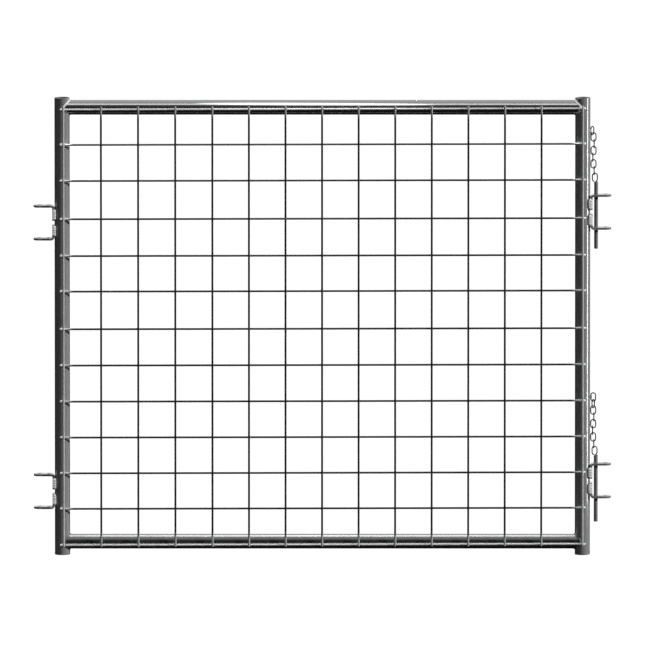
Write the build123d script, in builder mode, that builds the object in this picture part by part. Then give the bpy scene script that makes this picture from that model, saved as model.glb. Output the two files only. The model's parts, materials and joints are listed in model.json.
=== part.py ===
from build123d import *

import os
from math import cos, radians, sin, sqrt

os.makedirs("parts", exist_ok=True)

# Kidding panel. Millimetres, +Z up, +X to the right, -Y towards the mesh face.
# The origin is on the ground, midway between the posts, in the plane of the tube axes.

# Frame tubes
post_od = 42.2
rail_od = 41.3
tube_wall = 2.0
foot_height = 36.5  # ground to the bottom rail's axis
head_height = 27.0  # top rail's axis to the post tops

# Mesh sheet, welded from straight wires
wire_d = 5.7
mesh_pitch = 101.6
mesh_rows = 12
inner_columns = 12  # columns of full pitch between the two edge columns
edge_column = 110.4  # outermost full-pitch wire to the wire on the post
wire_stub = 9.0  # wire end past the outermost crossing wire
bottom_wire_drop = 8.5  # bottom wire below the bottom rail's axis
top_wire_drop = 0.8  # top wire below the top rail's axis

# Connector lugs, bent from flat strap, two to a station
strap_width = 32.0
strap_thickness = 6.35
bend_radius = 3.6  # inside the bend
lug_leg = 43.0  # arm's outer face to the leg's end
lug_gap = 12.0  # between the two legs of a station
arm_reach = 58.0  # post face to the arm's tip
pin_hole_offset = 16.0  # post face to the inner hole's axis
hole_d = 12.0
low_station_z = 207.0  # right post, ground to the middle of the low station
station_spacing = 750.0  # low station to high station
left_drop = 30.0  # left stations sit this much lower, so that a neighbour's lugs pass between

# Drop pins
pin_d = 11.1
pin_length = 187.0
pin_chamfer = 1.2

# Chains
link_wire_d = 3.2
link_inner_length = 20.2
link_inner_width = 10.4
link_clearance = 0.3  # between two links that pull on each other, and between chain and post
link_seat_loss = 0.45  # pitch lost where the wires ride up each other's bends
turned_pitch_loss = 0.7  # more of it below the lowest turned link, which crosses at a slant
anchor_rise = {"upper": 226.0, "lower": 232.5}  # station to the first link's centre
upper_links = 8
lower_links = 9
turned_yaws = {"upper": [55.0], "lower": [-20.0, 60.0]}  # the top links stand half open
edge_on_yaw = 90.0
pin_link_offset = 3.5  # last link's centre inboard of the pin's axis
pin_bite = 1.5  # depth of the last link's seat in the pin's top

# Welds
saddle_weld = 3.5  # throat of the bead around a rail end
saddle_weld_margin = 0.6  # bead stops this far behind the tubes' front and back
strap_weld_r = 4.4
strap_weld_inset = 1.5  # bead's centre in from the strap's edge
strap_weld_end = 1.2  # bead's ends from the ends of the leg's flat
anchor_weld_r = 3.2
anchor_weld_length = 11.0
anchor_weld_gap = 0.8  # first link's wire from the post

# Sizes that follow
post_r = post_od / 2
rail_r = rail_od / 2
wire_r = wire_d / 2
pin_r = pin_d / 2
sheet_height = mesh_rows * mesh_pitch
top_rail_z = foot_height + sheet_height - bottom_wire_drop + top_wire_drop
post_length = top_rail_z + head_height
post_x = inner_columns * mesh_pitch / 2 + edge_column
bottom_wire_z = foot_height - bottom_wire_drop
cross_wire_y = -(max(post_r, rail_r) + wire_r)
upright_wire_y = cross_wire_y - wire_d
arm_outer = lug_gap / 2 + lug_leg  # station's middle to an arm's outer face
pin_x = post_x + post_r + pin_hole_offset
tip_hole_offset = arm_reach - strap_width / 2  # the outer hole shares the round tip's centre
station_z = {"lower": low_station_z, "upper": low_station_z + station_spacing}
link_count = {"upper": upper_links, "lower": lower_links}


def write(piece, name):
    """Label one finished piece and write it as its own file."""
    piece.part.label = name
    export_step(piece.part, f"parts/{name}.step")


# Posts: plain tubes, open at both ends
sides = {"left": -1, "right": 1}
for side, sign in sides.items():
    with BuildPart() as post:
        with BuildSketch():
            with Locations((sign * post_x, 0)):
                Circle(post_r)
                Circle(post_r - tube_wall, mode=Mode.SUBTRACT)
        extrude(amount=post_length)
    write(post, f"post_{side}")


# Rails: tubes whose ends are saddle-cut to the posts
rail_heights = {"bottom": foot_height, "top": top_rail_z}
for level, rail_z in rail_heights.items():
    with BuildPart() as rail:
        with BuildSketch(Plane.YZ.offset(-post_x)):
            with Locations((0, rail_z)):
                Circle(rail_r)
                Circle(rail_r - tube_wall, mode=Mode.SUBTRACT)
        extrude(amount=2 * post_x)
        with Locations((-post_x, 0, rail_z), (post_x, 0, rail_z)):
            Cylinder(post_r, 2 * rail_od, mode=Mode.SUBTRACT)
    write(rail, f"rail_{level}")


# Mesh: cross wires lie on the tubes, upright wires lie on the cross wires
cross_heights = [bottom_wire_z + row * mesh_pitch for row in range(mesh_rows + 1)]
for number, height in enumerate(cross_heights, 1):
    with BuildPart() as cross_wire:
        with BuildSketch(Plane.YZ.offset(-post_x - wire_stub)):
            with Locations((cross_wire_y, height)):
                Circle(wire_r)
        extrude(amount=2 * (post_x + wire_stub))
    write(cross_wire, f"cross_wire_{number:02d}")

inner_places = [(column - inner_columns / 2) * mesh_pitch for column in range(inner_columns + 1)]
upright_places = [-post_x] + inner_places + [post_x]
for number, place in enumerate(upright_places, 1):
    with BuildPart() as upright_wire:
        with BuildSketch(Plane.XY.offset(bottom_wire_z - wire_stub)):
            with Locations((place, upright_wire_y)):
                Circle(wire_r)
        extrude(amount=sheet_height + 2 * wire_stub)
    write(upright_wire, f"upright_wire_{number:02d}")


def make_lug(sign, middle_z, up):
    """Bend one strap: its leg lies on the post and its arm points away from the panel.

    sign is the side of the panel and up is 1 for the upper strap of a station, -1 for the lower."""
    face = sign * (post_x + post_r)
    leg_face = face + sign * strap_thickness
    tip = face + sign * arm_reach
    leg_end = middle_z + up * lug_gap / 2
    outer = middle_z + up * arm_outer
    inner = outer - up * strap_thickness
    with BuildPart() as lug:
        with BuildSketch(Plane.XZ) as profile:
            with BuildLine():
                Polyline(
                    (face, leg_end), (face, outer), (tip, outer),
                    (tip, inner), (leg_face, inner), (leg_face, leg_end),
                    close=True,
                )
            make_face()
            inside = profile.vertices().sort_by_distance((leg_face, inner))[0]
            fillet(inside, bend_radius)
            outside = profile.vertices().sort_by_distance((face, outer))[0]
            fillet(outside, bend_radius + strap_thickness)
        extrude(amount=strap_width / 2, both=True)
        with BuildSketch(Plane.XY.offset(middle_z - arm_outer)):
            with Locations((face + sign * tip_hole_offset / 2, 0)):
                Rectangle(tip_hole_offset, strap_width)
            with Locations((face + sign * tip_hole_offset, 0)):
                Circle(strap_width / 2)
        extrude(amount=2 * arm_outer, mode=Mode.INTERSECT)
        with BuildSketch(Plane.XY.offset(middle_z - arm_outer)):
            with Locations((face + sign * pin_hole_offset, 0), (face + sign * tip_hole_offset, 0)):
                Circle(hole_d / 2)
        extrude(amount=2 * arm_outer, mode=Mode.SUBTRACT)
    return lug


def make_strap_welds(sign, middle_z, up):
    """Lay a bead along both sides of a lug's leg, in the wedge between flat strap and round post."""
    weld_y = strap_width / 2 - strap_weld_inset
    weld_x = (post_r + sqrt(post_r**2 - weld_y**2)) / 2
    leg_flat = lug_leg - bend_radius - strap_thickness
    weld_length = leg_flat - 2 * strap_weld_end
    weld_z = middle_z + up * (lug_gap + leg_flat) / 2
    with BuildPart() as beads:
        with Locations(*[(sign * (post_x + weld_x), y, weld_z) for y in (-weld_y, weld_y)]):
            Cylinder(strap_weld_r, weld_length)
        with Locations((sign * post_x, 0, weld_z)):
            Cylinder(post_r, lug_leg, mode=Mode.SUBTRACT)
        with Locations((sign * (post_x + post_r + strap_thickness / 2), 0, weld_z)):
            Box(strap_thickness, strap_width, lug_leg, mode=Mode.SUBTRACT)
    return beads


# Lugs: four stations of two straps each
weld_groups = []
for side, sign in sides.items():
    for level, right_z in station_z.items():
        middle_z = right_z - (left_drop if side == "left" else 0)
        for place, up in {"top": 1, "bottom": -1}.items():
            write(make_lug(sign, middle_z, up), f"lug_{side}_{level}_{place}")
            weld_groups.append(make_strap_welds(sign, middle_z, up))


def make_saddle_weld(sign, rail_z, up):
    """Fill the crotch between a rail end and its post: an oval bar square to the mitre, less both tubes."""
    mean_r = (post_r + rail_r) / 2
    corner = (sign * post_x, 0, rail_z)
    mitre = Plane(origin=corner, x_dir=(-sign, 0, up), z_dir=(sign, 0, up))
    reach = post_r + 2 * saddle_weld
    depth = 2 * (min(post_r, rail_r) - saddle_weld_margin)
    with BuildPart() as bead:
        with BuildSketch(mitre):
            Ellipse(mean_r * sqrt(2) + saddle_weld, mean_r + saddle_weld)
        extrude(amount=2 * reach, both=True)
        with Locations((corner[0] - sign * reach / 2, 0, rail_z + up * reach / 2)):
            Box(reach, depth, reach, mode=Mode.INTERSECT)
        with Locations(corner):
            Cylinder(post_r, 3 * reach, mode=Mode.SUBTRACT)
            Cylinder(rail_r, 3 * reach, rotation=(0, 90, 0), mode=Mode.SUBTRACT)
    return bead


for sign in sides.values():
    for rail_z in rail_heights.values():
        for up in (1, -1):
            weld_groups.append(make_saddle_weld(sign, rail_z, up))


# Chains: oval links that hang beside the right post, from a welded first link down to each pin
link_r = (link_inner_width + link_wire_d) / 2  # bend of the link's wire axis
link_half = (link_inner_length + link_wire_d) / 2  # link's centre to the end of the wire axis
link_shift = (link_wire_d + link_clearance) / 2  # lets every other link slide past its twin
shift_rise = link_r - sqrt(link_r**2 - link_shift**2)
crossing = (link_wire_d + link_clearance) / (1 - (link_shift / link_r) ** 2)
link_pitch = 2 * link_half - crossing - 2 * shift_rise - link_seat_loss
chain_x = post_x + post_r + link_r + link_wire_d / 2 + link_clearance
shift_cycle = [(0, -link_shift), (link_shift, 0), (0, link_shift), (-link_shift, 0)]


def first_link_x(yaw):
    """X of a first link whose near side stands off the post by the weld gap."""
    near_y = link_r * sin(radians(yaw))
    near_out = post_r + anchor_weld_gap + link_wire_d / 2
    return post_x + sqrt(near_out**2 - near_y**2) + link_r * cos(radians(yaw))


def place_links(level):
    """Centre and yaw of each link of one chain, from the post down to the pin."""
    count = link_count[level]
    turned = turned_yaws[level]
    height = station_z[level] + anchor_rise[level]
    places = []
    for number in range(count):
        below = count - 1 - number
        if number < len(turned):
            yaw = turned[number]
            x = chain_x if number else first_link_x(yaw)
            y = 0
        else:
            yaw = edge_on_yaw * (below % 2)
            shift_x, y = shift_cycle[below % len(shift_cycle)]
            x = shift_x + (chain_x if below else pin_x - pin_link_offset)
        places.append((Vector(x, y, height), yaw))
        height -= link_pitch - (turned_pitch_loss if number == len(turned) - 1 else 0)
    return places


def make_link(middle, yaw):
    """Bend one upright oval link of round wire, turned by yaw from facing the front."""
    wide = Vector(cos(radians(yaw)), sin(radians(yaw)), 0)
    straight = link_half - link_r
    with BuildPart() as link:
        with BuildLine(Plane(origin=middle, x_dir=wide, z_dir=wide.cross(Vector(0, 0, 1)))) as path:
            Line((link_r, -straight), (link_r, straight))
            CenterArc((0, straight), link_r, 0, 180)
            Line((-link_r, straight), (-link_r, -straight))
            CenterArc((0, -straight), link_r, 180, 180)
        with BuildSketch(Plane(origin=path.line @ 0, z_dir=path.line % 0)):
            Circle(link_wire_d / 2)
        sweep(path=path.line)
    return link


for level in link_count:
    places = place_links(level)
    links = [make_link(middle, yaw) for middle, yaw in places]
    for number, link in enumerate(links, 1):
        write(link, f"chain_{level}_link_{number}")

    # First link's weld: a nugget between the link's near side and the post
    first, first_yaw = places[0]
    near_x = first.X - link_r * cos(radians(first_yaw))
    near_y = first.Y - link_r * sin(radians(first_yaw))
    with BuildPart() as anchor_weld:
        with Locations((near_x, near_y, first.Z)):
            Cylinder(anchor_weld_r, anchor_weld_length)
        with Locations((post_x, 0, first.Z)):
            Cylinder(post_r, 2 * anchor_weld_length, mode=Mode.SUBTRACT)
        add(links[0].part, mode=Mode.SUBTRACT)
    weld_groups.append(anchor_weld)

    # Pin: a plain rod whose top is seated under the last link and welded to it
    last = places[-1][0]
    pin_top = last.Z - link_half - link_wire_d / 2 + pin_bite
    with BuildPart() as pin:
        with BuildSketch(Plane.XY.offset(pin_top - pin_length)):
            with Locations((pin_x, 0)):
                Circle(pin_r)
        extrude(amount=pin_length)
        chamfer(pin.faces().sort_by(Axis.Z)[0].edges(), pin_chamfer)
        add(links[-1].part, mode=Mode.SUBTRACT)
    write(pin, f"pin_{level}")


# Weld beads: one node of separate solids
with BuildPart() as weld_beads:
    for group in weld_groups:
        add(group.part)
write(weld_beads, "weld_beads")
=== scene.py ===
import json
import math
import random

import bmesh
import bpy
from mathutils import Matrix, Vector

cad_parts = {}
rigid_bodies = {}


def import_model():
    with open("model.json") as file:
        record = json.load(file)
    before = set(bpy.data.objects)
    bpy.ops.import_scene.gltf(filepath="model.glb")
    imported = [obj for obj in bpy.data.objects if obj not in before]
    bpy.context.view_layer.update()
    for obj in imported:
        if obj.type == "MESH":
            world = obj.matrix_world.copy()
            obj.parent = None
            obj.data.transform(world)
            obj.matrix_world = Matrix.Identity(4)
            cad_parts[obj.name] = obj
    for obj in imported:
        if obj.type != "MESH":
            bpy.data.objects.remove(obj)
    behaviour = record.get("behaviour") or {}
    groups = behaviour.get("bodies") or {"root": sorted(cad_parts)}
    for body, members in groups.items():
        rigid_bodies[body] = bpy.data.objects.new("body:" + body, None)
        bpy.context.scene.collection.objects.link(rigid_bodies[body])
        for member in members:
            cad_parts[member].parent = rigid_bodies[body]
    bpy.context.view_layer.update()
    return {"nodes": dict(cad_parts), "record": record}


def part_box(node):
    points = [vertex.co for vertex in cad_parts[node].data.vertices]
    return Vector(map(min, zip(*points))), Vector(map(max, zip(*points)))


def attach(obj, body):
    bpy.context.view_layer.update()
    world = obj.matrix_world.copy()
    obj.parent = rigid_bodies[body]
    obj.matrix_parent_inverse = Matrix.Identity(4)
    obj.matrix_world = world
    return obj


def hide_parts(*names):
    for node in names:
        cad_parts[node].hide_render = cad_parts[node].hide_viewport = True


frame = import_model()

# Kidding panel, dressed: galvanised tube, drawn mesh wire, bent strap lugs, chained drop pins and
# rippled welds. Metres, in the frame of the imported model.

MM = 0.001
PANEL = "panel"  # the body of everything that is welded together
ALONG, UP = 0, 2  # the axes of the rails and of the posts
nodes = frame["nodes"]
mounts = {mount["name"]: mount for mount in frame["record"]["mounts"]}
body_of_node = {
    node: body
    for body, members in frame["record"]["behaviour"]["bodies"].items()
    for node in members
}

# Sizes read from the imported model
post_low, post_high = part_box("post_right")
post_x = (post_low.x + post_high.x) / 2
post_r = (post_high.x - post_low.x) / 2
post_bore = mounts["post_bore_right"]["dims"]["r_mm"] * MM
tube_wall = post_r - post_bore
rail_low, rail_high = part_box("rail_top")
rail_r = (rail_high.z - rail_low.z) / 2
strap_thickness = mounts["left_upper_top_inner"]["dims"]["length_mm"] * MM
hole_r = mounts["left_upper_top_inner"]["dims"]["r_mm"] * MM
post_face = post_x + post_r
inner_hole = -mounts["left_upper_top_inner"]["pos_m"][0] - post_face
outer_hole = -mounts["left_upper_top_outer"]["pos_m"][0] - post_face
link_low, link_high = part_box("chain_upper_link_8")
link_wire_r = (link_high.y - link_low.y) / 2
link_r = (link_high.x - link_low.x) / 2 - link_wire_r
link_half = (link_high.z - link_low.z) / 2 - link_wire_r

# Tubes
TUBE_SIDES = 96
LIP = 0.5 * MM  # rounding of a sawn tube end
LIP_MIDDLE = 0.3 * LIP  # how far the middle of that rounding is from the tube's end and side

# Mesh wires. The ring lists hold (distance from the end, width), both as shares of the radius.
WIRE_SIDES = 20
WIRE_STEP = 14 * MM  # spacing of the rings along a wire
WIRE_WANDER = 0.05 * MM  # how far a drawn wire strays from straight
WIRE_END = ((0.0, 0.55), (0.12, 0.86), (0.45, 1.0))
TIP_SKIN = 0.45 * MM  # how far the sheared end of a cross wire is swollen
TIP_RINGS = (
    (1.9, 0.86), (1.5, 0.97), (1.0, 1.0), (0.6, 0.97), (0.3, 0.86), (0.12, 0.66), (0.02, 0.36)
)
MESH_LEAN = 0.0023  # rise of the mesh towards the right, which sits a hair out of square
LEFT_EDGE_SHIFT = 3.5 * MM  # how far the upright on the left post stands right of the post's middle
UPRIGHT_CREST = 4  # the inner upright furthest right of its even place; the left edge's is number 0
CREST_SHIFT = 0.5 * MM  # how far that one stands to the right
LEFT_WIDENING = 1.05 * MM  # by how much the pitch to its left is wider than even
RIGHT_TIGHTENING = 0.47 * MM  # by how much the pitch to its right is tighter than even
OUTER_CROSS_SHIFT = 1.65 * MM  # how far the cross wires on the rails lie towards the panel's middle
CROSS_SAG = 4.2 * MM  # how far the middle cross wire lies below its even place
CROSS_END_RISE = 2.0 * MM  # how far the inner cross wires next to the rails lie above theirs
HIGH_CROSSES = (7, 10)  # cross wires welded higher than their neighbours; the lowest is number 0
HIGH_CROSS_RISE = 3.2 * MM
UPRIGHT_TRIM_BELOW = 6.5 * MM  # how far an upright is sheared short
UPRIGHT_TRIM_ABOVE = 2.0 * MM
CROSS_TRIM = 2.6 * MM  # how far a cross wire is sheared short on the left

# Drops of weld: reach, thickness, and how far they are pushed into the corners of a crossing
NUGGET_ROWS = 7
NUGGET_SIDES = 16
NUGGET_UNEVEN = (0.94, 1.06)  # least and greatest reach, as shares of the mean
CROSSING_NUGGET = (3.3 * MM, 1.3 * MM, 0.22)
POST_NUGGET = (4.2 * MM, 1.2 * MM, 0.0)
PIN_NUGGET = (2.6 * MM, 1.6 * MM, 0.0)
PIN_NUGGET_OFFSET = 1.9 * MM  # how far the drops on a pin are from the link's middle

# Lug straps
STRAP_EDGE = 0.7 * MM  # rounding of the strap's edges and punched holes
STRAP_EDGE_STEPS = 3
STRAP_BEND = 3.6 * MM  # inside radius of the strap's bend
BEND_STEPS = 14
STRAP_END_STEPS = 28  # steps around the strap's round end
HOLE_SIDES = 40
SAME_POINT = 1e-6  # points closer than this are one
ON_CUT = 1e-7  # points closer than this to a cut lie on it

# Chain links
LINK_SIDES = 16
LINK_RUN_STEPS = 10  # steps along a straight side
LINK_TURN_STEPS = 20  # steps around a round end
LINK_SWELL = 0.06  # how much a link's butt weld is swollen, as a share of the wire
LINK_SWELL_REACH = 0.9 * MM

# Pins. The end lists hold (distance in from the side, distance from the end).
PIN_SIDES = 48
PIN_FOOT = ((1.6 * MM, 0.0), (1.2 * MM, 0.1 * MM), (0.25 * MM, 1.0 * MM), (0.0, 1.5 * MM))
PIN_HEAD = ((0.0, 0.8 * MM), (0.2 * MM, 0.2 * MM), (0.8 * MM, 0.0))

# Weld beads: half width, spacing and depth of the ripples, and height as a share of the half width
STRAP_BEAD = {"radius": 5.6 * MM, "pitch": 7.0 * MM, "depth": 0.46, "squash": 0.66}
SADDLE_BEAD = {"radius": 2.9 * MM, "pitch": 4.0 * MM, "depth": 0.10, "squash": 0.75}
ANCHOR_BEAD = {"radius": 2.9 * MM, "pitch": 3.2 * MM, "depth": 0.10, "squash": 1.0}
BEAD_SIDES = 18
BEAD_END = 0.05  # width of a bead's very end, as a share of its full width
RIPPLE_HUMPS = (0.75, 1.15)  # least and greatest height of a ripple, against an even one
RIPPLE_LAG = 0.45  # how far a ripple lags behind on the bead's sides, as a share of the pitch
RIPPLE_ARC = 1.9  # width of a ripple's round section, in radii of its circle
SPARE_RIPPLES = 3  # ripples beyond the bead's length, for its sides that lag behind its start
SIDE_RIPPLE = 0.55  # ripple of a bead's sides, as a share of the ripple on its face
STRAP_WELD_STEP = 0.45 * MM  # spacing of the rings along the bead
STRAP_WELD_OUT = 1.0 * MM  # how far the bead's line lies outside the post's face
STRAP_WELD_INSET = 0.5 * MM  # how far it is inside the strap's edge
STRAP_WELD_END = 1.2 * MM  # how far it stops short of the leg's end and of the bend
STRAP_WELD_LEAN = 0.25  # how much the bead faces away from the panel
SADDLE_WELD_STEPS = 300
ANCHOR_WELD_STEP = 0.4 * MM
ANCHOR_WELD_HALF = 5.0 * MM  # half the bead's length
ANCHOR_WELD_RIGHT = 0.2  # the bead faces right and a little to the front: the two parts of that
ANCHOR_WELD_FRONT = 0.6 * link_r


def turns_round(count):
    """Evenly spaced angles of a full turn."""
    return [math.tau * i / count for i in range(count)]


def add_object(name, data):
    piece = bpy.data.objects.new(name, data)
    bpy.context.scene.collection.objects.link(piece)
    return piece


def mesh_object(name, points, faces):
    mesh = bpy.data.meshes.new(name)
    mesh.from_pydata(points, [], faces)
    mesh.update()
    return add_object(name, mesh)


def dress(piece, material, body, replaced=(), sharp_deg=35):
    """Shade a piece, give it its material and slot, and let it ride on its body."""
    mesh = piece.data
    fixed = bmesh.new()
    fixed.from_mesh(mesh)
    bmesh.ops.recalc_face_normals(fixed, faces=fixed.faces)
    fixed.to_mesh(mesh)
    fixed.free()
    mesh.shade_smooth()
    mesh.set_sharp_from_angle(angle=math.radians(sharp_deg))
    mesh.materials.clear()
    mesh.materials.append(material)
    even = piece.modifiers.new("even_shading", "WEIGHTED_NORMAL")
    even.keep_sharp = True
    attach(piece, body)
    if replaced:
        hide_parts(*replaced)
    return piece


def band(here, there, sides):
    """Faces between two rings of points that start at these numbers."""
    faces = []
    for j in range(sides):
        after = (j + 1) % sides
        faces.append((here + j, here + after, there + after, there + j))
    return faces


def closed_grid(rings):
    """Points and faces of rings that are closed around, and from the last ring to the first."""
    sides = len(rings[0])
    points = [point for ring in rings for point in ring]
    faces = []
    for i in range(len(rings)):
        faces += band(i * sides, (i + 1) % len(rings) * sides, sides)
    return points, faces


def capped_grid(rings):
    """Points and faces of rings that are closed around, with a flat cap on the first and the last."""
    sides = len(rings[0])
    points = [point for ring in rings for point in ring]
    faces = []
    for i in range(len(rings) - 1):
        faces += band(i * sides, (i + 1) * sides, sides)
    last = (len(rings) - 1) * sides
    faces.append(tuple(range(sides - 1, -1, -1)))
    faces.append(tuple(range(last, last + sides)))
    return points, faces


def add_rings(shape, rings):
    """Add a capped form to a shape that holds many of them."""
    points, faces = capped_grid(rings)
    all_points, all_faces = shape
    base = len(all_points)
    all_points.extend(points)
    all_faces.extend(tuple(base + corner for corner in face) for face in faces)


# Materials

LINE_STRETCH = 0.02  # scale of the drawn lines along the grain, against across it
LINE_SCALE = 900.0  # scales of the three noises, per metre
CLOUD_SCALE = 9.0
SPECK_SCALE = 1400.0
CLOUD_TONE = 0.06  # how far the clouds change the tone
CLOUD_MATTE = 0.02  # how far the clouds change the roughness
SPECK_MATTE = 0.04  # how far the specks change the roughness
LINE_HEIGHT = 0.6  # shares of the lines and specks in the bump
SPECK_HEIGHT = 0.4
BUMP_STRENGTH = 0.03
BUMP_DEPTH = 0.2 * MM
HIGHLIGHT_BLEND = 12 * MM  # how gently the painted highlight on a mesh wire fades in where it lies on a tube
CROSS_HIGHLIGHT_GAIN = 11.2  # how much brighter a cross wire is painted over the posts: painted highlight
UPRIGHT_HIGHLIGHT_GAIN = 13.0  # how much brighter an upright is painted over the rails: painted highlight


class Nodes:
    """A short way to write a node tree."""

    def __init__(self, owner):
        owner.use_nodes = True
        self.tree = owner.node_tree
        self.tree.nodes.clear()

    def add(self, kind, inputs=(), **settings):
        node = self.tree.nodes.new(kind)
        for key, value in settings.items():
            setattr(node, key, value)
        for key, value in dict(inputs).items():
            if isinstance(value, bpy.types.NodeSocket):
                self.tree.links.new(value, node.inputs[key])
            else:
                node.inputs[key].default_value = value
        return node

    def math(self, operation, first, second=0.0):
        return self.add("ShaderNodeMath", {0: first, 1: second}, operation=operation).outputs[0]

    def total(self, first, *others):
        for other in others:
            first = self.math("ADD", first, other)
        return first

    def noise(self, place, scale, detail):
        inputs = {"Vector": place, "Scale": scale, "Detail": detail}
        return self.add("ShaderNodeTexNoise", inputs).outputs[0]

    def spread(self, value, low, high):
        """Map a value of 0 to 1 onto low to high."""
        return self.add("ShaderNodeMapRange", {0: value, 3: low, 4: high}).outputs[0]

    def ramp(self, value, start, end, low, high):
        """Ease from low to high while a value goes from start to end."""
        inputs = {0: value, 1: start, 2: end, 3: low, 4: high}
        return self.add("ShaderNodeMapRange", inputs, interpolation_type="SMOOTHSTEP").outputs[0]


def painted_highlight_gain(n, place, axis, first, last, gain):
    """A factor that is 1 between first and last along an axis, and rises to the gain outside them: it
    paints a highlight.
    """
    along = n.add("ShaderNodeSeparateXYZ", {0: place}).outputs[axis]
    before = n.math("SUBTRACT", first, along)
    after = n.math("SUBTRACT", along, last)
    past = n.math("MAXIMUM", before, after)
    return n.ramp(past, -HIGHLIGHT_BLEND, HIGHLIGHT_BLEND, 1.0, gain)


def galvanised(
    name, tone, metallic, roughness, grain, spangle, spangle_mm,
    grain_axis=None, painted_highlight_ends=None, shine=0.5,
):
    """Zinc on steel: clouded tone, faint spangle and lines drawn along the grain axis.

    The ends argument is (first, last, gain): along the grain axis the tone is painted brighter outside
    those two, a painted highlight.
    """
    material = bpy.data.materials.new(name)
    n = Nodes(material)
    place = n.add("ShaderNodeTexCoord").outputs["Object"]
    stretch = [1.0, 1.0, 1.0]
    if grain_axis is not None:
        stretch[grain_axis] = LINE_STRETCH
    along = n.add("ShaderNodeMapping", {"Vector": place, "Scale": stretch}).outputs[0]
    lines = n.noise(along, LINE_SCALE, detail=3.0)
    cloud = n.noise(place, CLOUD_SCALE, detail=4.0)
    speck = n.noise(place, SPECK_SCALE, detail=2.0)
    cells = n.add("ShaderNodeTexVoronoi", {"Vector": place, "Scale": 1 / (spangle_mm * MM)})
    flake = n.add("ShaderNodeSeparateColor", {0: cells.outputs["Color"]}).outputs[0]
    flakes = n.spread(flake, -spangle, spangle)

    shade = n.total(
        n.spread(cloud, -CLOUD_TONE, CLOUD_TONE), flakes, n.spread(lines, -grain, grain), 1.0
    )
    # painted highlight: the tone is raised outside the given span along the grain axis
    if painted_highlight_ends is not None:
        shade = n.math("MULTIPLY", shade, painted_highlight_gain(n, place, grain_axis, *painted_highlight_ends))
    colour = n.add("ShaderNodeVectorMath", {0: tone, 1: shade}, operation="MULTIPLY").outputs[0]

    matte = n.total(
        n.spread(cloud, -CLOUD_MATTE, CLOUD_MATTE), flakes,
        n.spread(speck, -SPECK_MATTE, SPECK_MATTE), roughness,
    )

    height = n.total(
        n.math("MULTIPLY", lines, LINE_HEIGHT), n.math("MULTIPLY", speck, SPECK_HEIGHT),
        n.math("MULTIPLY", cells.outputs["Distance"], spangle),
    )
    bump_inputs = {"Strength": BUMP_STRENGTH, "Distance": BUMP_DEPTH, "Height": height}
    bump = n.add("ShaderNodeBump", bump_inputs).outputs[0]

    surface_inputs = {
        "Base Color": colour, "Metallic": metallic, "Roughness": matte, "Normal": bump,
        "Specular IOR Level": shine,
    }
    surface = n.add("ShaderNodeBsdfPrincipled", surface_inputs).outputs[0]
    n.add("ShaderNodeOutputMaterial", {0: surface})
    return material


post_zinc = galvanised(
    "post_zinc", (0.43, 0.434, 0.438), metallic=0.42, roughness=0.14,
    grain=0.04, spangle=0.03, spangle_mm=7.0, grain_axis=UP,
)
rail_zinc = galvanised(
    "rail_zinc", (0.54, 0.545, 0.55), metallic=0.95, roughness=0.17,
    grain=0.04, spangle=0.03, spangle_mm=7.0, grain_axis=ALONG,
)
# Painted highlight where a mesh wire lies on a tube; the inner wires' near-black tone is painted
# shade.
highlight_over_posts = (post_r - post_x, post_x - post_r, CROSS_HIGHLIGHT_GAIN)
highlight_over_rails = (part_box("rail_bottom")[1].z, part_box("rail_top")[0].z, UPRIGHT_HIGHLIGHT_GAIN)
upright_zinc = galvanised(
    "upright_zinc", (0.050, 0.051, 0.052), metallic=0.35, roughness=0.13,
    grain=0.03, spangle=0.02, spangle_mm=4.0, grain_axis=UP, painted_highlight_ends=highlight_over_rails, shine=0.1,
)
cross_zinc = galvanised(
    "cross_zinc", (0.080, 0.081, 0.082), metallic=0.65, roughness=0.13,
    grain=0.03, spangle=0.02, spangle_mm=4.0, grain_axis=ALONG, painted_highlight_ends=highlight_over_posts, shine=0.1,
)
# The wires on the rails and on the posts get near-white copies of the wire zinc: painted highlight.
ridge_zinc_painted_bright = galvanised(
    "ridge_zinc_painted_bright", (0.90, 0.90, 0.90), metallic=0.6, roughness=0.18,
    grain=0.03, spangle=0.02, spangle_mm=4.0, grain_axis=ALONG,
)
edge_zinc_painted_bright = galvanised(
    "edge_zinc_painted_bright", (0.80, 0.805, 0.81), metallic=0.25, roughness=0.16,
    grain=0.03, spangle=0.02, spangle_mm=4.0,
)
strap_zinc = galvanised(
    "strap_zinc", (0.66, 0.665, 0.67), metallic=0.68, roughness=0.22,
    grain=0.04, spangle=0.03, spangle_mm=6.0,
)
pin_zinc = galvanised(
    "pin_zinc", (0.26, 0.263, 0.266), metallic=0.05, roughness=0.30,
    grain=0.05, spangle=0.02, spangle_mm=4.0, grain_axis=UP, shine=0.1,
)
chain_zinc = galvanised(
    "chain_zinc", (0.016, 0.0165, 0.017), metallic=0.10, roughness=0.40,
    grain=0.05, spangle=0.03, spangle_mm=3.0, shine=0.0,
)
# The welds' near-white tone stands in for highlights on the ripples: painted highlight.
weld_zinc = galvanised(
    "weld_zinc", (0.80, 0.80, 0.80), metallic=0.30, roughness=0.28,
    grain=0.05, spangle=0.06, spangle_mm=2.0,
)
# A darker copy of the weld zinc for the lower rail's beads: painted shade.
seam_zinc_painted_shade = galvanised(
    "seam_zinc_painted_shade", (0.30, 0.303, 0.306), metallic=0.40, roughness=0.24,
    grain=0.05, spangle=0.04, spangle_mm=3.0,
)
# Sheared ends: the near-white tone is partly the bare steel's own colour and partly painted highlight.
cut_steel_and_highlight = galvanised(
    "cut_steel_and_highlight", (0.95, 0.95, 0.95), metallic=0.1, roughness=0.22,
    grain=0.04, spangle=0.02, spangle_mm=2.0,
)


# Frame tubes


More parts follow.
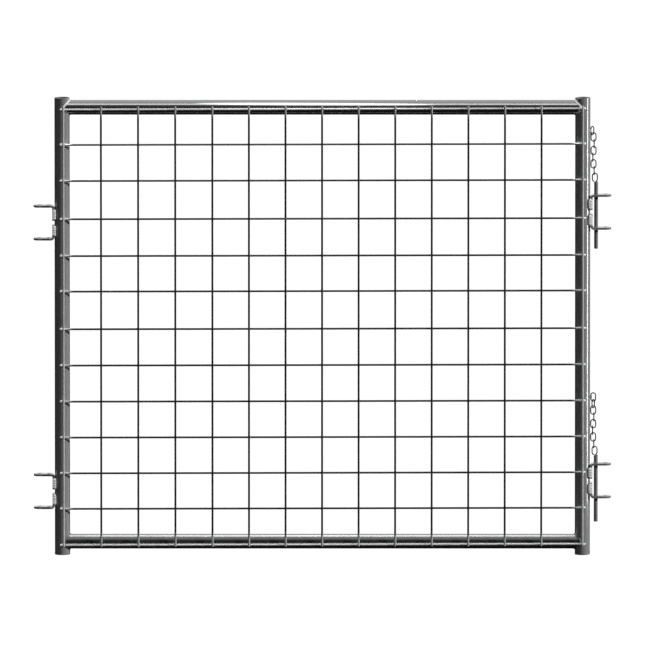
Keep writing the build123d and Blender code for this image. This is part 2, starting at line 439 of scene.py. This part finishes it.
def make_post(side):
    """Revolve a tube wall whose sawn ends are slightly rounded."""
    low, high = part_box(f"post_{side}")
    axis_x = (low.x + high.x) / 2
    profile = [
        (post_r - LIP, low.z), (post_r - LIP_MIDDLE, low.z + LIP_MIDDLE), (post_r, low.z + LIP),
        (post_r, high.z - LIP), (post_r - LIP_MIDDLE, high.z - LIP_MIDDLE), (post_r - LIP, high.z),
        (post_bore + LIP, high.z), (post_bore, high.z - LIP),
        (post_bore, low.z + LIP), (post_bore + LIP, low.z),
    ]
    rings = []
    for turn in turns_round(TUBE_SIDES):
        rings.append([(axis_x + r * math.cos(turn), r * math.sin(turn), z) for r, z in profile])
    piece = mesh_object(f"post_{side}_tube", *closed_grid(rings))
    dress(piece, post_zinc, PANEL, [f"post_{side}"])


def make_rail(level):
    """A tube whose ends are cut to the round of the posts."""
    low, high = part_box(f"rail_{level}")
    axis_z = (low.z + high.z) / 2
    bore = rail_r - tube_wall
    rings = []
    for turn in turns_round(TUBE_SIDES):
        ring = []
        for r, ends in ((rail_r, (-1, 1)), (bore, (1, -1))):
            y = r * math.cos(turn)
            z = axis_z + r * math.sin(turn)
            reach = post_x - math.sqrt(post_r**2 - y**2)
            ring += [(end * reach, y, z) for end in ends]
        rings.append(ring)
    piece = mesh_object(f"rail_{level}_tube", *closed_grid(rings))
    dress(piece, rail_zinc, PANEL, [f"rail_{level}"])


for side in ("left", "right"):
    make_post(side)
for level in ("bottom", "top"):
    make_rail(level)


# Mesh


def upright_shift(place, count):
    """How far an upright, counted from 0 on the left, stands right of its even place."""
    if place == 0:
        return LEFT_EDGE_SHIFT
    if place == count - 1:
        return 0.0
    change = LEFT_WIDENING if place < UPRIGHT_CREST else RIGHT_TIGHTENING
    return CREST_SHIFT - change * abs(place - UPRIGHT_CREST)


def cross_shift(place, count):
    """How far a cross wire, counted from 0 at the bottom, lies above its even place."""
    if place == 0:
        return OUTER_CROSS_SHIFT
    if place == count - 1:
        return -OUTER_CROSS_SHIFT
    middle = (count - 1) / 2
    bow = ((place - middle) / (middle - 1)) ** 2
    rise = (CROSS_SAG + CROSS_END_RISE) * bow - CROSS_SAG
    return rise + HIGH_CROSS_RISE if place in HIGH_CROSSES else rise


upright_nodes = sorted(node for node in nodes if node.startswith("upright_wire"))
cross_nodes = sorted(node for node in nodes if node.startswith("cross_wire"))
wire_shift = {}
for group, shift in ((upright_nodes, upright_shift), (cross_nodes, cross_shift)):
    for place, node in enumerate(group):
        wire_shift[node] = shift(place, len(group))


def make_wire(node, axis, material):
    """A drawn wire that strays a little from straight, with sheared ends."""
    draw = random.Random(node)
    low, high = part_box(node)
    middle = (low + high) / 2
    across = UP if axis == ALONG else ALONG
    middle[across] += wire_shift[node]
    if axis == UP:
        low.z += UPRIGHT_TRIM_BELOW
        high.z -= UPRIGHT_TRIM_ABOVE
    else:
        low.x += CROSS_TRIM
    radius = (high.y - low.y) / 2
    length = high[axis] - low[axis]
    count = round(length / WIRE_STEP)
    stops = [(low[axis] + back * radius, scale) for back, scale in WIRE_END]
    stops += [(low[axis] + length * i / count, 1.0) for i in range(1, count)]
    stops += [(high[axis] - back * radius, scale) for back, scale in reversed(WIRE_END)]
    rings = []
    for stop, scale in stops:
        stray_y = draw.uniform(-WIRE_WANDER, WIRE_WANDER)
        stray_across = draw.uniform(-WIRE_WANDER, WIRE_WANDER)
        ring = []
        for turn in turns_round(WIRE_SIDES):
            point = middle.copy()
            point[axis] = stop
            point.y += stray_y + radius * scale * math.cos(turn)
            point[across] += stray_across + radius * scale * math.sin(turn)
            point.z += MESH_LEAN * point.x
            ring.append(tuple(point))
        rings.append(ring)
    piece = mesh_object(f"{node}_rod", *capped_grid(rings))
    dress(piece, material, PANEL, [node], sharp_deg=50)


def add_tip(shape, node, end):
    """The domed, sheared end of a wire: bare steel where the blade went through the zinc, painted
    near-white as a painted highlight.
    """
    low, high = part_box(node)
    middle = (low + high) / 2
    radius = (high.y - low.y) / 2 + TIP_SKIN
    stop = high.x if end > 0 else low.x + CROSS_TRIM
    height = middle.z + wire_shift[node] + MESH_LEAN * stop
    rings = []
    for back, scale in TIP_RINGS:
        x = stop - end * back * radius
        r = radius * scale
        turns = turns_round(WIRE_SIDES)
        rings.append([(x, middle.y + r * math.cos(t), height + r * math.sin(t)) for t in turns])
    add_rings(shape, rings)


def make_tips():
    """The ends of all cross wires, painted near-white as a painted highlight, as one piece."""
    shape = ([], [])
    for node in cross_nodes:
        for end in (-1, 1):
            add_tip(shape, node, end)
    piece = mesh_object("wire_sheared_ends", *shape)
    dress(piece, cut_steel_and_highlight, PANEL, sharp_deg=60)


def add_nugget(shape, draw, centre, reach, thickness, lobes):
    """A flattened drop of squeezed-out metal; lobes push it into the four corners of a crossing."""
    rings = []
    for row in range(NUGGET_ROWS):
        lift = math.pi * (row + 0.5) / NUGGET_ROWS
        ring = []
        for turn in turns_round(NUGGET_SIDES):
            out = reach * (1 - lobes * math.cos(4 * turn)) * draw.uniform(*NUGGET_UNEVEN)
            ring.append((
                centre.x + out * math.sin(lift) * math.cos(turn),
                centre.y - thickness * math.cos(lift),
                centre.z + out * math.sin(lift) * math.sin(turn),
            ))
        rings.append(ring)
    add_rings(shape, rings)


def make_spot_welds():
    """The pressed welds of the mesh: one at each crossing, and one where a wire meets a post."""
    draw = random.Random("spot welds")
    shape = ([], [])
    for cross in cross_nodes:
        low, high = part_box(cross)
        height = (low.z + high.z) / 2 + wire_shift[cross]
        for upright in upright_nodes:
            near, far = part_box(upright)
            x = (near.x + far.x) / 2 + wire_shift[upright]
            centre = Vector((x, low.y, height + MESH_LEAN * x))
            add_nugget(shape, draw, centre, *CROSSING_NUGGET)
        for x in (-post_x, post_x):
            centre = Vector((x, high.y, height + MESH_LEAN * x))
            add_nugget(shape, draw, centre, *POST_NUGGET)
    piece = mesh_object("mesh_spot_welds", *shape)
    dress(piece, weld_zinc, PANEL, sharp_deg=80)


for group, axis, inner, outer in (
    (upright_nodes, UP, upright_zinc, edge_zinc_painted_bright), (cross_nodes, ALONG, cross_zinc, ridge_zinc_painted_bright)
):
    for node in group:
        # wires that lie on a tube take the near-white copies, a painted highlight
        on_tube = node in (group[0], group[-1])
        make_wire(node, axis, outer if on_tube else inner)
make_tips()
make_spot_welds()


# Lugs


def strap_loops(length, width):
    """Outline of the flat strap, round at one end, and its two punched holes."""
    half = width / 2
    tip = length - half
    outline = [(0.0, half), (0.0, -half)]
    for i in range(STRAP_END_STEPS + 1):
        turn = -math.pi / 2 + math.pi * i / STRAP_END_STEPS
        outline.append((tip + half * math.cos(turn), half * math.sin(turn)))
    loops = [outline]
    arm_start = tip - outer_hole
    for hole in (inner_hole, outer_hole):
        turns = turns_round(HOLE_SIDES)
        loops.append([(arm_start + hole + hole_r * math.cos(t), -hole_r * math.sin(t)) for t in turns])
    return loops


def strap_blank(name, length, width):
    """The flat strap before bending, with all its edges eased."""
    curve = bpy.data.curves.new(name, "CURVE")
    curve.dimensions = "2D"
    curve.fill_mode = "BOTH"
    curve.extrude = strap_thickness / 2 - STRAP_EDGE
    curve.bevel_depth = STRAP_EDGE
    curve.bevel_resolution = STRAP_EDGE_STEPS
    curve.offset = -STRAP_EDGE
    for loop in strap_loops(length, width):
        spline = curve.splines.new("POLY")
        spline.points.add(len(loop) - 1)
        for point, (x, y) in zip(spline.points, loop):
            point.co = (x, y, 0, 1)
        spline.use_cyclic_u = True
    flat = add_object(name, curve)
    bpy.context.view_layer.update()
    view = bpy.context.evaluated_depsgraph_get()
    mesh = bpy.data.meshes.new_from_object(flat.evaluated_get(view))
    bpy.data.objects.remove(flat)
    bpy.data.curves.remove(curve)
    return mesh


def make_lug(side, level, place):
    """Bend a flat strap: the leg lies on the post, the arm points away from the panel."""
    node = f"lug_{side}_{level}_{place}"
    low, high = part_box(node)
    sign = -1 if side == "left" else 1
    up = 1 if place == "top" else -1
    bend = STRAP_BEND + strap_thickness / 2
    corner = STRAP_BEND + strap_thickness
    leg_flat = high.z - low.z - corner
    arc = bend * math.pi / 2
    arm_flat = high.x - low.x - corner
    mesh = strap_blank(node + "_blank", leg_flat + arc + arm_flat, high.y - low.y)
    shape = bmesh.new()
    shape.from_mesh(mesh)
    bmesh.ops.remove_doubles(shape, verts=shape.verts, dist=SAME_POINT)
    for i in range(BEND_STEPS + 1):
        cut = leg_flat + arc * i / BEND_STEPS
        bmesh.ops.bisect_plane(
            shape, geom=shape.verts[:] + shape.edges[:] + shape.faces[:],
            plane_co=(cut, 0, 0), plane_no=(1, 0, 0), dist=ON_CUT,
        )
    leg_end = low.z if up > 0 else high.z
    for vertex in shape.verts:
        s, y, t = vertex.co
        if s <= leg_flat:
            out = strap_thickness / 2 - t
            rise = s
        elif s <= leg_flat + arc:
            turn = (s - leg_flat) / bend
            out = corner - (bend + t) * math.cos(turn)
            rise = leg_flat + (bend + t) * math.sin(turn)
        else:
            out = corner + s - leg_flat - arc
            rise = leg_flat + bend + t
        vertex.co = (sign * (post_face + out), y, leg_end + up * rise)
    shape.to_mesh(mesh)
    shape.free()
    piece = add_object(node + "_strap", mesh)
    dress(piece, strap_zinc, PANEL, [node], sharp_deg=30)


for side in ("left", "right"):
    for level in ("lower", "upper"):
        for place in ("top", "bottom"):
            make_lug(side, level, place)


# Pins and chains


def link_yaw(node):
    """Which way a link's wide side points, from the spread of its points."""
    points = [vertex.co for vertex in nodes[node].data.vertices]
    mean = sum(points, Vector()) / len(points)
    spread_xx = sum((p.x - mean.x) ** 2 for p in points)
    spread_yy = sum((p.y - mean.y) ** 2 for p in points)
    spread_xy = sum((p.x - mean.x) * (p.y - mean.y) for p in points)
    return math.atan2(2 * spread_xy, spread_xx - spread_yy) / 2


def link_stops(straight):
    """Points around a link's oval: (across, along, direction of the outside)."""
    stops = []
    for sign, start in ((1, 0.0), (-1, math.pi)):
        for i in range(LINK_RUN_STEPS):
            along = -straight + 2 * straight * i / LINK_RUN_STEPS
            stops.append((sign * link_r, sign * along, start))
        for i in range(LINK_TURN_STEPS):
            turn = start + math.pi * i / LINK_TURN_STEPS
            stops.append((link_r * math.cos(turn), sign * straight + link_r * math.sin(turn), turn))
    return stops


def make_link(node):
    """Sweep round wire around an oval, with the swollen butt weld of a made link on one side."""
    low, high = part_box(node)
    middle = (low + high) / 2
    yaw = link_yaw(node)
    wide = Vector((math.cos(yaw), math.sin(yaw), 0))
    face = Vector((-math.sin(yaw), math.cos(yaw), 0))
    rise = Vector((0, 0, 1))
    straight = link_half - link_r
    rings = []
    for across, along, turn in link_stops(straight):
        centre = middle + across * wide + along * rise
        out = math.cos(turn) * wide + math.sin(turn) * rise
        radius = link_wire_r
        if across > 0 and abs(along) < straight:
            radius *= 1 + LINK_SWELL * math.exp(-((along / LINK_SWELL_REACH) ** 2))
        ring = []
        for around in turns_round(LINK_SIDES):
            ring.append(tuple(centre + radius * (math.cos(around) * out + math.sin(around) * face)))
        rings.append(ring)
    piece = mesh_object(node + "_ring", *closed_grid(rings))
    dress(piece, chain_zinc, body_of_node[node], [node], sharp_deg=60)


def make_pin(level):
    """A sawn rod with eased ends."""
    low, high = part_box(f"pin_{level}")
    axis_x = (low.x + high.x) / 2
    radius = (high.x - low.x) / 2
    profile = [(radius - inset, low.z + rise) for inset, rise in PIN_FOOT]
    profile += [(radius - inset, high.z - drop) for inset, drop in PIN_HEAD]
    rings = []
    for r, z in profile:
        turns = turns_round(PIN_SIDES)
        rings.append([(axis_x + r * math.cos(t), r * math.sin(t), z) for t in turns])
    piece = mesh_object(f"pin_{level}_rod", *capped_grid(rings))
    dress(piece, pin_zinc, body_of_node[f"pin_{level}"], [f"pin_{level}"])


def make_pin_weld(level):
    """The two drops of weld that hold a chain's last link in the top of its pin."""
    draw = random.Random(level)
    links = [node for node in nodes if node.startswith(f"chain_{level}_link_")]
    low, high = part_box(f"chain_{level}_link_{len(links)}")
    middle = (low + high) / 2
    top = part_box(f"pin_{level}")[1].z
    shape = ([], [])
    for way in (-1, 1):
        centre = Vector((middle.x, middle.y + way * PIN_NUGGET_OFFSET, top))
        add_nugget(shape, draw, centre, *PIN_NUGGET)
    piece = mesh_object(f"weld_pin_{level}", *shape)
    dress(piece, weld_zinc, body_of_node[f"pin_{level}"], sharp_deg=80)


for node in sorted(node for node in nodes if node.startswith("chain_")):
    make_link(node)
for level in ("lower", "upper"):
    make_pin(level)
    make_pin_weld(level)


# Welds


def straight_path(start, end, step):
    count = max(2, round((end - start).length / step))
    return [start.lerp(end, i / count) for i in range(count + 1)]


def lengths_along(path):
    """How far each point is from the first, along the path."""
    lengths = [0.0]
    for before, point in zip(path, path[1:]):
        lengths.append(lengths[-1] + (point - before).length)
    return lengths


def make_bead(name, path, outs, radius, pitch, depth, squash, closed=False, metal=weld_zinc):
    """A rippled bead along a path of points: crescent ripples that lag behind at the bead's edges."""
    draw = random.Random(name)
    count = len(path)
    travel = lengths_along(path)
    total = travel[-1]
    if closed:
        total += (path[0] - path[-1]).length
        pitch = total / round(total / pitch)
    humps = [draw.uniform(*RIPPLE_HUMPS) for _ in range(int(total / pitch) + SPARE_RIPPLES)]
    rings = []
    for i, point in enumerate(path):
        ahead = path[(i + 1) % count] if closed else path[min(i + 1, count - 1)]
        behind = path[i - 1] if closed else path[max(i - 1, 0)]
        tangent = (ahead - behind).normalized()
        out = (outs[i] - outs[i].dot(tangent) * tangent).normalized()
        beside = tangent.cross(out)
        ease = 1.0
        if not closed:
            to_end = min(travel[i], total - travel[i])
            ease = max(BEAD_END, math.sqrt(max(0.0, 1 - (1 - min(1.0, to_end / radius)) ** 2)))
        ring = []
        for turn in turns_round(BEAD_SIDES):
            step = (travel[i] - RIPPLE_LAG * pitch * (1 - math.cos(turn))) / pitch
            number = math.floor(step)
            across_ripple = RIPPLE_ARC * (step - number) - RIPPLE_ARC / 2
            scallop = math.sqrt(max(0.0, 1 - across_ripple**2))
            ripple = humps[number % len(humps)] * scallop - 1
            rise = squash * radius * ease * (1 + depth * ripple) * math.cos(turn)
            spread = radius * ease * (1 + SIDE_RIPPLE * depth * ripple) * math.sin(turn)
            ring.append(tuple(point + rise * out + spread * beside))
        rings.append(ring)
    shape = closed_grid(rings) if closed else capped_grid(rings)
    piece = mesh_object(name, *shape)
    return dress(piece, metal, PANEL, sharp_deg=60)


def make_strap_welds(side, level, place):
    """A bead down the front and the back of a lug's leg, in the wedge between strap and post."""
    low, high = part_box(f"lug_{side}_{level}_{place}")
    sign = -1 if side == "left" else 1
    x = sign * (post_face + STRAP_WELD_OUT)
    weld_y = (high.y - low.y) / 2 - STRAP_WELD_INSET
    short_of_bend = STRAP_BEND + strap_thickness + STRAP_WELD_END
    if place == "top":
        start_z = low.z + STRAP_WELD_END
        end_z = high.z - short_of_bend
    else:
        start_z = high.z - STRAP_WELD_END
        end_z = low.z + short_of_bend
    beads = []
    for name, way in (("front", -1), ("back", 1)):
        start = Vector((x, way * weld_y, start_z))
        end = Vector((x, way * weld_y, end_z))
        path = straight_path(start, end, STRAP_WELD_STEP)
        out = Vector((STRAP_WELD_LEAN * sign, way, 0)).normalized()
        title = f"weld_{side}_{level}_{place}_{name}"
        beads.append(make_bead(title, path, [out] * len(path), **STRAP_BEAD))
    return beads


def make_saddle_weld(side, level):
    """The bead all round a rail's end, painted darker on the lower rail as painted shade."""
    sign = -1 if side == "left" else 1
    low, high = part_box(f"rail_{level}")
    axis_z = (low.z + high.z) / 2
    path = []
    outs = []
    for turn in turns_round(SADDLE_WELD_STEPS):
        y = rail_r * math.cos(turn)
        reach = math.sqrt(post_r**2 - y**2)
        path.append(Vector((sign * (post_x - reach), y, axis_z + rail_r * math.sin(turn))))
        from_rail = Vector((0, math.cos(turn), math.sin(turn)))
        from_post = Vector((-sign * reach, y, 0)) / post_r
        outs.append((from_rail + from_post).normalized())
    # painted shade: the lower rail's beads take the darker copy of the weld zinc
    metal = weld_zinc if level == "top" else seam_zinc_painted_shade
    return make_bead(f"weld_rail_{level}_{side}", path, outs, closed=True, metal=metal, **SADDLE_BEAD)


def make_anchor_weld(level):
    """The nugget that holds a chain's first link to the post."""
    node = f"chain_{level}_link_1"
    low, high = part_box(node)
    yaw = link_yaw(node)
    near = (low + high) / 2 - link_r * Vector((math.cos(yaw), math.sin(yaw), 0))
    half = Vector((0, 0, ANCHOR_WELD_HALF))
    path = straight_path(near - half, near + half, ANCHOR_WELD_STEP)
    out = Vector((ANCHOR_WELD_RIGHT, near.y - ANCHOR_WELD_FRONT, 0)).normalized()
    return make_bead(f"weld_anchor_{level}", path, [out] * len(path), **ANCHOR_BEAD)


welds = []
for side in ("left", "right"):
    for level in ("lower", "upper"):
        for place in ("top", "bottom"):
            welds += make_strap_welds(side, level, place)
    for level in ("bottom", "top"):
        welds.append(make_saddle_weld(side, level))
for level in ("lower", "upper"):
    welds.append(make_anchor_weld(level))
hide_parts("weld_beads")


# Stage

# Brightness of the studio by direction. Pitch is 0 degrees at the camera's side, 90 overhead and 180
# behind the panel. Bearing is 0 at the camera's side and positive to the right. Each ramp is
# (start, end, value at the start, value at the end).
OVERHEAD_FRONT = (12, 60, 0.0, 0.28)  # by pitch
OVERHEAD_BACK = (60, 105, 0.0, 0.32)  # by pitch, added to the front's
LEFT_RISE = (-125, -25, 0.0, 0.05)  # by bearing
LEFT_STOP = (-18, -5, 1.0, 0.0)  # by bearing
RIGHT_RISE = (55, 75, 0.0, 0.2)  # by bearing
SIDES_STOP = (60, 90, 1.0, 0.0)  # by pitch
BACKDROP_RISE = (150, 168, 0.0, 1.0)  # by pitch
BACKDROP_WIDTH = (0.93, 0.975, 0.0, 1.0)  # by how squarely the direction points behind the panel
STUDIO_DIM = 0.005
SOFT_LIGHT = 0.12  # share of the studio's light that reaches matt surfaces

FLOOR_HALF = 60.0
FLOOR_GLOW = 0.96
FLOOR_MIRRORED = (25.0, 40.0, 0.002, 1.0)  # share of that glow in mirrored rays, by distance behind
FLOOR_GREY = 0.2  # grey of the floor for the camera, under the glow
FLOOR_BOUNCE = 0.012  # grey of the floor for light that bounces

CENTRE = Vector((0.0, 0.0, 0.64))
SUN_DISTANCE = 5

CAMERA_DISTANCE = 80.0
CAMERA_ELEVATION = 7.6  # degrees
CAMERA_AIM = Vector((0.0072, 0.0, 0.6405))
CAMERA_CLIP = 1000
SENSOR_MM = 36.0
FRAME_WIDTH = 1.799  # metres across the picture at the panel
WHITE = (1, 1, 1, 1)


def make_world():
    """White to the camera. Metal sees a white backdrop behind the panel and a dim studio elsewhere."""
    world = bpy.data.worlds.new("studio")
    bpy.context.scene.world = world
    n = Nodes(world)
    direction = n.add("ShaderNodeTexCoord").outputs["Generated"]
    way = n.add("ShaderNodeSeparateXYZ", {0: direction}).outputs
    ahead = n.math("MULTIPLY", way["Y"], -1.0)
    to_degrees = math.degrees(1.0)
    pitch = n.math("MULTIPLY", n.math("ARCTAN2", way["Z"], ahead), to_degrees)
    bearing = n.math("MULTIPLY", n.math("ARCTAN2", way["X"], ahead), to_degrees)
    overhead = n.math("ADD", n.ramp(pitch, *OVERHEAD_FRONT), n.ramp(pitch, *OVERHEAD_BACK))
    left = n.math("MULTIPLY", n.ramp(bearing, *LEFT_RISE), n.ramp(bearing, *LEFT_STOP))
    right = n.ramp(bearing, *RIGHT_RISE)
    sides = n.math("MULTIPLY", n.math("ADD", left, right), n.ramp(pitch, *SIDES_STOP))
    dim = n.math("ADD", n.math("ADD", overhead, sides), STUDIO_DIM)
    backdrop = n.math("MULTIPLY", n.ramp(pitch, *BACKDROP_RISE), n.ramp(way["Y"], *BACKDROP_WIDTH))
    studio = n.math("MAXIMUM", dim, backdrop)
    rays = n.add("ShaderNodeLightPath").outputs
    soft = n.spread(rays["Is Diffuse Ray"], 1.0, SOFT_LIGHT)
    seen = n.math("MAXIMUM", rays["Is Camera Ray"], n.math("MULTIPLY", studio, soft))
    light = n.add("ShaderNodeBackground", {"Strength": seen, "Color": WHITE})
    n.add("ShaderNodeOutputWorld", {0: light.outputs[0]})


def make_floor():
    """A pale floor that melts into the white and still takes the panel's shadow."""
    half = FLOOR_HALF
    corners = [(-half, -half, 0), (half, -half, 0), (half, half, 0), (-half, half, 0)]
    floor = mesh_object("floor", corners, [(0, 1, 2, 3)])
    material = bpy.data.materials.new("floor_sweep")
    n = Nodes(material)
    point = n.add("ShaderNodeTexCoord").outputs["Object"]
    place = n.add("ShaderNodeSeparateXYZ", {0: point}).outputs
    rays = n.add("ShaderNodeLightPath").outputs
    behind = n.ramp(place["Y"], *FLOOR_MIRRORED)
    mirrored = n.math("MAXIMUM", rays["Is Glossy Ray"], rays["Is Transmission Ray"])
    seen = n.math("MAXIMUM", rays["Is Camera Ray"], n.math("MULTIPLY", mirrored, behind))
    glow = n.math("MULTIPLY", seen, FLOOR_GLOW)
    shine = n.add("ShaderNodeEmission", {"Strength": glow, "Color": WHITE})
    grey = n.spread(rays["Is Camera Ray"], FLOOR_BOUNCE, FLOOR_GREY)
    matte = n.add("ShaderNodeBsdfDiffuse", {"Color": grey})
    both = n.add("ShaderNodeAddShader", {0: shine.outputs[0], 1: matte.outputs[0]})
    n.add("ShaderNodeOutputMaterial", {0: both.outputs[0]})
    floor.data.materials.append(material)


def toward(azimuth, elevation, distance):
    """A point seen from the panel's centre: azimuth 0 is the camera's side, positive to the right."""
    a = math.radians(azimuth)
    e = math.radians(elevation)
    way = Vector((math.sin(a) * math.cos(e), -math.cos(a) * math.cos(e), math.sin(e)))
    return CENTRE + distance * way


def add_light(name, kind, place, target, energy, **settings):
    data = bpy.data.lights.new(name, kind)
    data.energy = energy
    for key, value in settings.items():
        setattr(data, key, value)
    lamp = add_object(name, data)
    lamp.location = place
    lamp.rotation_euler = (Vector(target) - Vector(place)).to_track_quat("-Z", "Y").to_euler()
    lamp.visible_camera = False
    return lamp


def add_sun(name, azimuth, elevation, energy, width_deg, **settings):
    """A sun that shines on the panel and is not mirrored in it."""
    place = toward(azimuth, elevation, SUN_DISTANCE)
    lamp = add_light(name, "SUN", place, CENTRE, energy, angle=math.radians(width_deg), **settings)
    lamp.visible_glossy = False
    return lamp


def add_reflector(name, shape, place, target, energy, size, size_y):
    """A glowing sheet that is only mirrored in the metal."""
    lamp = add_light(name, "AREA", place, target, energy, shape=shape, size=size, size_y=size_y)
    lamp.visible_diffuse = False
    return lamp


def pieces_of(*metals):
    return [piece for piece in bpy.data.objects if piece.active_material in metals]


def light_only(lamp, pieces):
    """Let a lamp reach these pieces alone."""
    reached = bpy.data.collections.new(lamp.name + "_reach")
    for piece in pieces:
        reached.objects.link(piece)
    lamp.light_linking.receiver_collection = reached


def keep_off(lamp, pieces):
    """Keep a lamp from reaching these pieces."""
    spared = bpy.data.collections.new(lamp.name + "_spared")
    for piece in pieces:
        spared.objects.link(piece)
    for entry in spared.collection_objects:
        entry.light_linking.link_state = "EXCLUDE"
    lamp.light_linking.receiver_collection = spared


def make_lights():
    """A low key from the right, a weak fill, a sun from behind, sheets to mirror, and a glint."""
    add_sun("key", azimuth=74.5, elevation=14.2, energy=3.1, width_deg=0.8)
    fill = add_sun("fill", azimuth=-2, elevation=16, energy=0.28, width_deg=3, use_shadow=False)
    add_sun("back", azimuth=180, elevation=22, energy=1.2, width_deg=5)
    add_reflector(
        "top_strip", "RECTANGLE", place=(0, -0.14, 1.44), target=(0, -0.02, 1.20),
        energy=0.42, size=1.6, size_y=0.05,
    )
    add_reflector(
        "top_pool", "ELLIPSE", place=(-0.02, -0.14, 1.44), target=(0, -0.02, 1.20),
        energy=0.42, size=0.66, size_y=0.20,
    )
    add_reflector(
        "low_strip", "RECTANGLE", place=(0, 0.10, 1.16), target=(0, 0.02, 0.05),
        energy=3.2, size=1.42, size_y=0.30,
    )
    add_reflector(
        "low_pool", "ELLIPSE", place=(-0.05, 0.10, 1.16), target=(-0.05, 0.02, 0.05),
        energy=1.8, size=0.62, size_y=0.36,
    )
    side_strip = add_reflector(
        "side_strip", "RECTANGLE", place=(1.75, -0.20, 0.7), target=(0.72, 0, 0.64),
        energy=9.5, size=0.16, size_y=2.2,
    )
    glint = add_sun("glint", azimuth=-30, elevation=52, energy=2.2, width_deg=5)
    light_only(side_strip, [bpy.data.objects["post_right_tube"]])
    keep_off(fill, pieces_of(pin_zinc, chain_zinc))
    light_only(glint, pieces_of(cut_steel_and_highlight, weld_zinc, cross_zinc, ridge_zinc_painted_bright))


def make_camera():
    """Square to the panel, far off and a little above it."""
    data = bpy.data.cameras.new("camera")
    data.sensor_width = SENSOR_MM
    data.lens = SENSOR_MM * CAMERA_DISTANCE / FRAME_WIDTH
    data.clip_end = CAMERA_CLIP
    camera = add_object("camera", data)
    elevation = math.radians(CAMERA_ELEVATION)
    away = Vector((0.0, -math.cos(elevation), math.sin(elevation)))
    camera.location = CAMERA_AIM + CAMERA_DISTANCE * away
    camera.rotation_euler = (-away).to_track_quat("-Z", "Y").to_euler()
    bpy.context.scene.camera = camera


make_world()
make_floor()
make_lights()
make_camera()
bpy.context.scene.view_settings.view_transform = "Standard"
